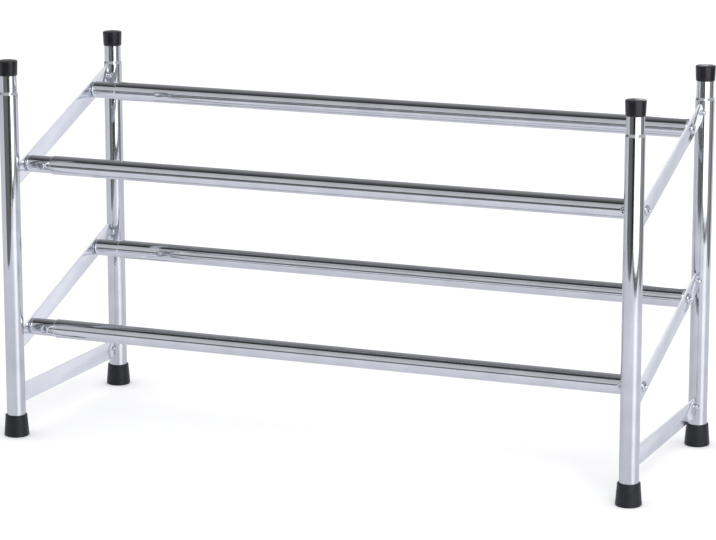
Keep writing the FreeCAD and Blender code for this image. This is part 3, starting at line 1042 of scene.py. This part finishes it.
@dataclass
class RailTube:
    """One tube of a telescoping rail, with its dimples pressed in."""

    row: Row
    tier: Tier
    side: Side
    radius: float
    length: float
    wall: float = 0.5
    lock_place: float = 16.5
    lock_depth: float = 1.0
    lock_reach: float = 4.0
    stop_place: float = 0.0
    stop_depth: float = 0.0
    stop_reach: float = 8.5
    dimple_width: float = 4.2
    lip: float = 0.28
    lip_length: float = 1.3
    round_depth: float = 2.0
    round_length: float = 3.2
    # The sawn mouth scatters the light this far in. Its burr is mostly brushed off before
    # plating, so only this share of the scatter is left.
    burr_length: float = 1.1
    burr: float = 0.3
    # The mesh has more rings near its ends: these shares of them lie in these lengths.
    fixed_share: float = 0.34
    fixed_run: float = 26.0
    mouth_share: float = 0.34
    mouth_run: float = 65.0

    @property
    def name(self) -> str:
        """Name of the tube's node."""
        kind = "inner" if self.side is Side.LEFT else "outer"
        return "%s_%s_%s_tube" % (self.row.name.lower(), self.tier.value, kind)

    def build(self, finish: bpy.types.Material) -> bpy.types.Object:
        """Make the tube from its sizes.

        The tube runs from its fixed end, with the lock dimple facing away from the middle of the
        rack and the stop dimple facing towards it.

        Args:
            finish: its material.

        Returns:
            The tube.
        """
        low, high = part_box(self.name)
        fixed_end = low.x if self.side is Side.LEFT else high.x
        lengths = ("length", "radius", "wall", "lip", "lip_length", "round_depth", "round_length",
                   "lock_place", "lock_depth", "lock_reach", "stop_place", "stop_depth",
                   "stop_reach", "dimple_width", "burr_length", "fixed_run", "mouth_run")
        tree = GeometryTree("rail_tube", {
            "Fixed End": (fixed_end, (low.y + high.y) / 2, (low.z + high.z) / 2),
            "Turn": 0.0 if self.side is Side.LEFT else math.pi,
            "Facing": float(-self.side.value * self.row.value),
            **{label.replace("_", " ").title(): getattr(self, label) * MM for label in lengths},
        })
        blank = tree.add("GeometryNodeMeshCylinder", {
            "Vertices": 96, "Side Segments": 240, "Radius": tree.size("Radius"),
            "Depth": tree.size("Length"),
        }, fill_type="NONE")
        half = tree.add(MATH, (tree.size("Length"), 0.5), operation="MULTIPLY")
        laid = tree.add("GeometryNodeTransform", {
            "Geometry": blank, "Translation": tree.add("ShaderNodeCombineXYZ", {"X": half}),
            "Rotation": (0.0, math.pi / 2, 0.0),
        })
        walled = self.thicken(tree, self.press(tree, self.space_rings(tree, laid)))
        put = tree.add("GeometryNodeTransform", {
            "Geometry": walled, "Translation": tree.size("Fixed End"),
            "Rotation": tree.add("ShaderNodeCombineXYZ", {"Z": tree.size("Turn")}),
        })
        tree.close(put, finish)
        return tree.make(self.name.replace("_tube", "_rail"), bpy.data.meshes.new(self.name), 50)

    def space_rings(self, tree: GeometryTree, tube: bpy.types.Node) -> bpy.types.Node:
        """Move the tube's rings together where the ends and dimples need them.

        Args:
            tree: the tube's tree.
            tube: the evenly divided tube, along +X from the origin.

        Returns:
            The tube with about a third of its rings near each end.
        """
        x, y, z = tree.place()
        share = tree.add(MATH, (x, tree.size("Length")), operation="DIVIDE")
        ends = tree.add(MATH, (tree.size("Fixed Run"), tree.size("Mouth Run")), operation="ADD")
        middle = tree.add(MATH, (tree.size("Length"), ends), operation="SUBTRACT")
        near, far = self.fixed_share, 1.0 - self.mouth_share
        first, second, third = (
            tree.add("ShaderNodeMapRange", (share, start, finish, 0.0, run))
            for start, finish, run in ((0.0, near, tree.size("Fixed Run")), (near, far, middle),
                                       (far, 1.0, tree.size("Mouth Run")))
        )
        both = tree.add(MATH, (first, second), operation="ADD")
        spaced = tree.add("ShaderNodeCombineXYZ",
                          (tree.add(MATH, (both, third), operation="ADD"), y, z))
        return tree.add("GeometryNodeSetPosition", {"Geometry": tube, "Position": spaced})

    def press(self, tree: GeometryTree, tube: bpy.types.Node) -> bpy.types.Node:
        """Roll both ends in, press the two dimples and mark the sawn mouth.

        Args:
            tree: the tube's tree.
            tube: the plain tube, along +X from the origin.

        Returns:
            The shaped tube.
        """
        x, y, z = tree.place()
        dimples = [self.dimple(tree, (x, y, z), label, sense)
                   for label, sense in (("Lock", 1.0), ("Stop", -1.0))]
        depth = tree.add(MATH, dimples, operation="ADD")
        # The tube is pushed in straight along Y, most where its side faces the tool.
        side = tree.add(MATH, (y, tree.size("Radius")), operation="DIVIDE")
        turned = tree.add(MATH, (side, side), operation="MULTIPLY")
        push = tree.add(MATH, (depth, turned), operation="MULTIPLY")
        inward = tree.add(MATH, (push, tree.add(MATH, (y,), operation="SIGN")),
                          operation="MULTIPLY")
        to_mouth = tree.add(MATH, (tree.size("Length"), x), operation="SUBTRACT")
        rolls = [self.roll(tree, to_mouth, tree.size("Lip Length"), tree.size("Lip")),
                 self.roll(tree, x, tree.size("Round Length"), tree.size("Round Depth"))]
        roll = tree.add(MATH, rolls, operation="ADD")
        shrink = tree.add(MATH, (roll, tree.size("Radius")), operation="DIVIDE")
        drawn_in = [tree.add(MATH, (shrink, part), operation="MULTIPLY") for part in (y, z)]
        sideways = tree.add(MATH, (inward, drawn_in[0]), operation="ADD")
        narrowed = tree.add("ShaderNodeCombineXYZ", {"Y": sideways, "Z": drawn_in[1]})
        offset = tree.add("ShaderNodeVectorMath", {0: narrowed, "Scale": -1.0}, operation="SCALE")
        sawn = tree.add(MATH, (to_mouth, tree.size("Burr Length")), operation="LESS_THAN")
        lipped = tree.add(MATH, (tree.size("Lip"), 0.0), operation="GREATER_THAN")
        mouth = tree.add(MATH, (sawn, lipped), operation="MULTIPLY")
        marked = tree.add("GeometryNodeStoreNamedAttribute", {
            "Geometry": tube, "Name": SHEARED,
            "Value": tree.add(MATH, (mouth, self.burr), operation="MULTIPLY"),
        }, data_type="FLOAT", domain="POINT")
        return tree.add("GeometryNodeSetPosition", {"Geometry": marked, "Offset": offset})

    @staticmethod
    def roll(tree: GeometryTree, distance: Socket | bpy.types.Node, length: Socket,
             depth: Socket) -> bpy.types.Node:
        """How far a rounded end comes in.

        Args:
            tree: the tube's tree.
            distance: distance from the end.
            length: length of the rounding along the tube.
            depth: depth of the rounding at the end.

        Returns:
            The depth at that distance, a quarter of an ellipse.
        """
        near = tree.add("ShaderNodeMapRange", (distance, 0.0, length, 1.0, 0.0))
        square = tree.add(MATH, (near, near), operation="MULTIPLY")
        rest = tree.add(MATH, (1.0, square), operation="SUBTRACT")
        fall = tree.add(MATH, (rest,), operation="SQRT")
        return tree.add("ShaderNodeMapRange", (fall, 0.0, 1.0, depth, 0.0))

    @staticmethod
    def dimple(tree: GeometryTree, place: tuple[Socket, Socket, Socket], label: str,
               sense: float) -> bpy.types.Node:
        """Depth of a dimple at a point of the tube.

        Args:
            tree: the tube's tree.
            place: distance from the fixed end, and offsets to the rear of the axis and above it.
            label: "Lock" or "Stop".
            sense: 1 on the side that Facing names, -1 on the other.

        Returns:
            The depth.
        """
        x, y, z = place
        away = tree.add(MATH, (x, tree.size(label + " Place")), operation="SUBTRACT")
        along = tree.add(MATH, (away, tree.size(label + " Reach")), operation="DIVIDE")
        across = tree.add(MATH, (z, tree.size("Dimple Width")), operation="DIVIDE")
        squares = [tree.add(MATH, (part, part), operation="MULTIPLY") for part in (along, across)]
        gap = tree.add(MATH, squares, operation="ADD")
        inside = tree.add(MATH, (tree.add(MATH, (1.0, gap), operation="SUBTRACT"), 0.0),
                          operation="MAXIMUM")
        bowl = tree.add(MATH, (inside, 1.5), operation="POWER")
        facing = tree.add(MATH, (y, tree.size("Facing")), operation="MULTIPLY")
        towards = tree.add(MATH, (facing, sense), operation="MULTIPLY")
        here = tree.add(MATH, (towards, 0.0), operation="GREATER_THAN")
        pressed = tree.add(MATH, (bowl, here), operation="MULTIPLY")
        return tree.add(MATH, (pressed, tree.size(label + " Depth")), operation="MULTIPLY")

    @staticmethod
    def thicken(tree: GeometryTree, skin: bpy.types.Node) -> bpy.types.Node:
        """Give the tube its wall, inwards, closed at both ends.

        Args:
            tree: the tube's tree.
            skin: the tube's outer surface.

        Returns:
            The closed wall.
        """
        inwards = tree.add(MATH, (tree.size("Wall"), -1.0), operation="MULTIPLY")
        pushed = tree.add("GeometryNodeExtrudeMesh",
                          {"Mesh": skin, "Individual": False, "Offset Scale": inwards},
                          mode="FACES")
        turned = tree.add("GeometryNodeFlipFaces", {"Mesh": pushed})
        both = tree.add("GeometryNodeJoinGeometry", {"Geometry": [skin, turned]})
        return tree.add("GeometryNodeMergeByDistance", {"Geometry": both, "Distance": TOUCHING})


@dataclass
class EndPlug:
    """Threaded plug in the fixed end of a tube; its rim is turned down under the rounding."""

    node: str
    side: Side
    round_depth: float = 2.2
    round_length: float = 3.4
    bore: float = 2.5
    chamfer: float = 0.6

    def build(self) -> bpy.types.Object:
        """Make the plug.

        Returns:
            The plug, with its bore along X.
        """
        low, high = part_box(self.node)
        middle = node_middle(self.node)
        length = (high.x - low.x) / MM
        radius = (high.z - low.z) * 0.5 / MM
        rim = [(radius - self.round_depth * (1 - math.sqrt(1 - (1 - share) ** 2)),
                self.round_length * share) for share in shares(8, 0)]
        profile = [(self.bore, 0.0), *rim, (radius, length - self.chamfer),
                   (radius - self.chamfer, length), (self.bore, length)]
        fixed_end = (high.x if self.side is Side.RIGHT else low.x) / MM
        return lathe(self.node + "_turned", profile, (fixed_end, middle.y, middle.z), 64,
                     (-float(self.side.value), 0.0, 0.0))


@dataclass
class TelescopicRail:
    """A rail: an inner tube on the left frame and an outer tube on the right one."""

    row: Row
    tier: Tier
    inner_radius: float = 8.2
    outer_radius: float = 9.0
    inner_length: float = 587.5
    outer_length: float = 588.0
    stop_setback: float = 52.5
    stop_depth: float = 0.22

    def build(self, finishes: Finishes) -> list[bpy.types.Object]:
        """Make and dress both tubes and the plugs in their fixed ends.

        Args:
            finishes: the rack's materials.

        Returns:
            The tubes and the plugs.
        """
        inner = RailTube(self.row, self.tier, Side.LEFT, self.inner_radius, self.inner_length,
                         lip=0.0)
        outer = RailTube(self.row, self.tier, Side.RIGHT, self.outer_radius, self.outer_length,
                         stop_place=self.outer_length - self.stop_setback,
                         stop_depth=self.stop_depth)
        pieces = []
        for tube in (inner, outer):
            pieces.append(dress(tube.build(finishes.rail), finishes.rail,
                                tube.side.body, tube.name))
            plug = EndPlug(tube.name.replace("_tube", "_plug"), tube.side)
            pieces.append(dress(plug.build(), finishes.steel, tube.side.body,
                                plug.node))
        return pieces


# ---------------------------------------------------------------------------------------------
# Dressing
# ---------------------------------------------------------------------------------------------

def dress(thing: bpy.types.Object, finish: bpy.types.Material, body: str,
          node: str) -> bpy.types.Object:
    """Give a piece its material and hand it to the frame.

    Args:
        thing: the finished piece.
        finish: its material.
        body: body that it moves with.
        node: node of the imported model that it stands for.

    Returns:
        The piece.
    """
    thing.data.materials.clear()
    thing.data.materials.append(finish)
    for face in thing.data.polygons:
        face.material_index = 0
    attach(thing, body)
    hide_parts(node)
    LOG.info("%s: %d faces, on %s", thing.name, len(thing.data.polygons), body)
    return thing


def dress_bushes(nodes: dict[str, bpy.types.Object], finishes: Finishes) -> None:
    """Give the glide bushes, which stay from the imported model, their finish.

    Args:
        nodes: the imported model's objects by name.
        finishes: the rack's materials.
    """
    for name, thing in nodes.items():
        if name.endswith("_bush"):
            thing.data.materials.clear()
            thing.data.materials.append(finishes.nylon)
            LOG.info("%s: dressed as it is", name)


# ---------------------------------------------------------------------------------------------
# Studio
# ---------------------------------------------------------------------------------------------

@dataclass(frozen=True)
class Card:
    """An upright studio card that shows only where a piece mirrors it.

    It runs from one floor point to another, between two heights, and its brightness goes from
    left_glow to right_glow as seen from the rack.
    """

    name: str
    left_end: Point
    right_end: Point
    levels: tuple[float, float]
    left_glow: float
    right_glow: float
    # The brightness changes between these shares of the card's width.
    fade: tuple[float, float] = (0.45, 0.8)

    def build(self) -> bpy.types.Object:
        """Make the card, upright.

        Returns:
            The card, hidden from the camera and from soft light.
        """
        low, high = self.levels
        mesh = plain_mesh(self.name, [(*self.left_end, low), (*self.right_end, low),
                                      (*self.right_end, high), (*self.left_end, high)],
                          [(0, 1, 2, 3)])
        unwrap = mesh.uv_layers.new(name="card")
        for loop, place in zip(unwrap.data, ((0, 0), (1, 0), (1, 1), (0, 1))):
            loop.uv = place
        card = mesh_object(self.name, mesh)
        material, tree, shader = new_material(self.name)
        across = add_node(tree, "ShaderNodeSeparateXYZ",
                          (add_node(tree, "ShaderNodeTexCoord").outputs["UV"],))
        glow = add_node(tree, "ShaderNodeMapRange",
                        (across, *self.fade, self.left_glow, self.right_glow),
                        interpolation_type="SMOOTHSTEP")
        light = add_node(tree, "ShaderNodeEmission",
                         {"Color": linear("#FFFFFF"), "Strength": glow})
        feed(tree, tree.nodes["Material Output"], {"Surface": light})
        tree.nodes.remove(shader)
        mesh.materials.append(material)
        card.visible_camera = False
        card.visible_diffuse = False
        card.visible_shadow = False
        return card


@dataclass
class Studio:
    """Pale floor, soft even light, and cards and sky that the chrome mirrors."""

    floor_size: float = 40000.0
    floor_colour: str = "#F4F4F6"
    mirrored_floor: str = "#DBDCE6"
    floor_gloss: float = 0.35
    floor_roughness: float = 0.95
    floor_shine: float = 0.1
    fill: float = 1.2
    # The sky is this much brighter in blue than in red and green.
    coolness: float = 1.03
    # By the angle above the front horizon, over the rack to the rear one.
    above: Bands = (
        (0, 0.04), (7, 0.04), (10, 0.78), (35, 0.68), (57, 0.58), (61, 0.02), (70, 0.04),
        (82, 0.1), (100, 0.19), (130, 0.36), (180, 0.45))
    # By the angle from the front towards the right.
    below: Bands = (
        (-180, 0.7), (-100, 0.75), (-60, 0.95), (-15, 0.9), (36, 0.8), (56, 2.6), (74, 2.6),
        (92, 0.95), (130, 0.9), (151, 1.15), (163, 0.4), (180, 0.6))
    # To the right of the rack the room is open and light. It opens as the X of the direction,
    # whose length is 1, goes from the first of these numbers to the second.
    open_side: str = "#D8D8DF"
    open_from: tuple[float, float] = (-0.12, 0.25)

    def build(self) -> None:
        """Make the floor, the sky, the lamp and the cards."""
        self.make_floor()
        self.make_sky()
        self.make_lamp("key_lamp", spot=(1000.0, -1150.0, 1100.0), size=(900.0, 500.0),
                       turn=-56.0, power=9.0)
        for card in self.cards():
            card.build()

    def cards(self) -> list[Card]:
        """Cards round the rack, a soft box over the right one and a high card behind.

        Returns:
            The cards, not yet made.
        """
        return [
            Card("dark_card_front", (-836.0, -852.0), (706.0, -1412.0), (0.0, 256.0), 0.21, 0.03),
            Card("dark_stand_front", (470.0, -750.0), (700.0, -1350.0), (30.0, 256.0), 0.02, 0.02),
            Card("white_card_right", (659.0, -1256.0), (1454.0, -208.0), (30.0, 420.0), 2.2, 2.2),
            Card("soft_box_right", (850.0, -1400.0), (1400.0, -900.0), (440.0, 1500.0), 2.5, 2.5),
            Card("foot_of_white_card", (659.0, -1256.0), (1454.0, -208.0), (0.0, 30.0), 0.1, 0.2),
            Card("dark_card_right", (1454.0, -208.0), (940.0, 793.0), (0.0, 256.0), 0.42, 0.2),
            Card("white_card_behind", (-650.0, 3000.0), (-410.0, 3000.0), (1000.0, 1500.0),
                 4.2, 4.2),
        ]

    def make_floor(self) -> None:
        """Wide floor, a shade deeper where the chrome mirrors it."""
        far = self.floor_size / 2
        mesh = plain_mesh("studio_floor", [(-far, -far, 0.0), (far, -far, 0.0), (far, far, 0.0),
                                           (-far, far, 0.0)], [(0, 1, 2, 3)])
        floor = mesh_object("studio_floor", mesh)
        # Matt white painted board. Mirrored rays partly pass it to the sky below the horizon,
        # which stands for the light that the board's slight gloss would throw back.
        material, tree, shader = new_material("matt_white_board")
        ray = add_node(tree, "ShaderNodeLightPath").outputs["Is Glossy Ray"]
        tone = add_node(tree, "ShaderNodeMix", {
            0: ray, COLOUR_A: linear(self.floor_colour), COLOUR_B: linear(self.mirrored_floor),
        }, data_type="RGBA")
        feed(tree, shader, {"Base Color": tone.outputs[MIXED], "Roughness": self.floor_roughness,
                            "Specular IOR Level": self.floor_shine})
        share = add_node(tree, MATH, (ray, self.floor_gloss), operation="MULTIPLY")
        blend = add_node(tree, "ShaderNodeMixShader",
                         (share, shader, add_node(tree, "ShaderNodeBsdfTransparent")))
        feed(tree, tree.nodes["Material Output"], {"Surface": blend})
        mesh.materials.append(material)

    def make_sky(self) -> None:
        """Even white light all round; the chrome sees a room with lit and dark bands."""
        world = bpy.data.worlds.new("studio_sky")
        bpy.context.scene.world = world
        world.use_nodes = True
        tree = world.node_tree
        ray = add_node(tree, "ShaderNodeLightPath").outputs["Is Glossy Ray"]
        look = add_node(tree, "ShaderNodeTexCoord").outputs["Generated"]
        east, north, up = add_node(tree, "ShaderNodeSeparateXYZ", (look,)).outputs
        south = add_node(tree, MATH, (north, -1.0), operation="MULTIPLY")
        room = self.glow(tree, (up, south), self.above, 0.0)
        side = add_node(tree, "ShaderNodeMapRange", (east, *self.open_from, 0.0, 1.0),
                        interpolation_type="SMOOTHSTEP")
        upper = add_node(tree, "ShaderNodeMix", {
            0: side, COLOUR_A: room, COLOUR_B: linear(self.open_side),
        }, data_type="RGBA")
        lower = self.glow(tree, (east, south), self.below, -math.pi)
        downwards = add_node(tree, MATH, (up, 0.0), operation="LESS_THAN")
        mirrored = add_node(tree, "ShaderNodeMix", {
            0: downwards, COLOUR_A: upper.outputs[MIXED], COLOUR_B: lower,
        }, data_type="RGBA")
        light = add_node(tree, "ShaderNodeMix", {
            0: ray, COLOUR_A: (self.fill, self.fill, self.fill, 1.0),
            COLOUR_B: mirrored.outputs[MIXED],
        }, data_type="RGBA")
        feed(tree, tree.nodes["Background"], {"Color": light.outputs[MIXED]})

    def glow(self, tree: bpy.types.NodeTree, direction: Sequence[Any], bands: Bands,
             first: float) -> bpy.types.Node:
        """Brightness of the sky by an angle.

        Args:
            tree: the world's tree.
            direction: the two parts of the direction whose ratio is the angle's tangent.
            bands: angles and brightness.
            first: lowest angle, in radians; the highest is half a turn.

        Returns:
            The node that gives the brightness, as a colour.
        """
        angle = add_node(tree, MATH, direction, operation="ARCTAN2")
        share = add_node(tree, "ShaderNodeMapRange", (angle, first, math.pi, 0.0, 1.0))
        span = math.pi - first
        return add_node(tree, "ShaderNodeValToRGB", (share,), stops=[
            ((math.radians(degrees) - first) / span, (level, level, level * self.coolness, 1.0))
            for degrees, level in bands
        ])

    @staticmethod
    def make_lamp(name: str, spot: Spot, size: tuple[float, float], turn: float,
                  power: float) -> None:
        """Rectangular soft lamp that shines straight down.

        Args:
            name: the lamp's name.
            spot: where it hangs, in millimetres.
            size: its two sides.
            turn: its turn about the vertical, in degrees.
            power: its power in watts.
        """
        lamp = bpy.data.lights.new(name, "AREA")
        lamp.shape = "RECTANGLE"
        lamp.size, lamp.size_y = (part * MM for part in size)
        lamp.energy = power
        thing = bpy.data.objects.new(name, lamp)
        bpy.context.scene.collection.objects.link(thing)
        thing.location = Vector(spot) * MM
        thing.rotation_euler = (0.0, 0.0, math.radians(turn))
        thing.visible_camera = False


@dataclass(frozen=True)
class Camera:
    """Long lens from the right front, a little above the rack."""

    place: Spot = (1076.2, -2589.6, 779.7)
    yaw: float = 22.502
    pitch: float = 12.339
    roll: float = -0.055
    focal_pixels: float = 3031.3
    picture_width: float = 716.0
    sensor_width: float = 36.0
    nearest: float = 50.0
    farthest: float = 100000.0

    def build(self) -> None:
        """Make the camera and set it as the scene's own."""
        data = bpy.data.cameras.new("camera")
        data.sensor_width = self.sensor_width
        data.lens = self.focal_pixels / self.picture_width * self.sensor_width
        data.clip_start, data.clip_end = self.nearest * MM, self.farthest * MM
        camera = bpy.data.objects.new("camera", data)
        bpy.context.scene.collection.objects.link(camera)
        yaw, pitch = math.radians(self.yaw), math.radians(self.pitch)
        ahead = Vector((-math.sin(yaw) * math.cos(pitch), math.cos(yaw) * math.cos(pitch),
                        -math.sin(pitch)))
        right = Vector((math.cos(yaw), math.sin(yaw), 0.0))
        up = right.cross(ahead)
        turn = Matrix((right, up, -ahead)).transposed().to_4x4()
        camera.matrix_world = (Matrix.Translation(Vector(self.place) * MM) @ turn
                               @ Matrix.Rotation(math.radians(self.roll), 4, "Z"))
        bpy.context.scene.camera = camera


def main() -> None:
    """Build the rack's looks and the studio round it."""
    logging.basicConfig(level=logging.INFO, format="%(name)s: %(message)s")
    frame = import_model()
    bpy.context.scene.view_settings.view_transform = "Standard"
    Camera().build()
    finishes = Finishes.make()
    pieces = []
    for side in Side:
        pieces += EndFrame(side).build(finishes)
    for row in Row:
        for tier in Tier:
            pieces += TelescopicRail(row, tier).build(finishes)
    LOG.info("%d pieces made", len(pieces))
    dress_bushes(frame["nodes"], finishes)
    Studio().build()


if __name__ == "__main__":
    main()
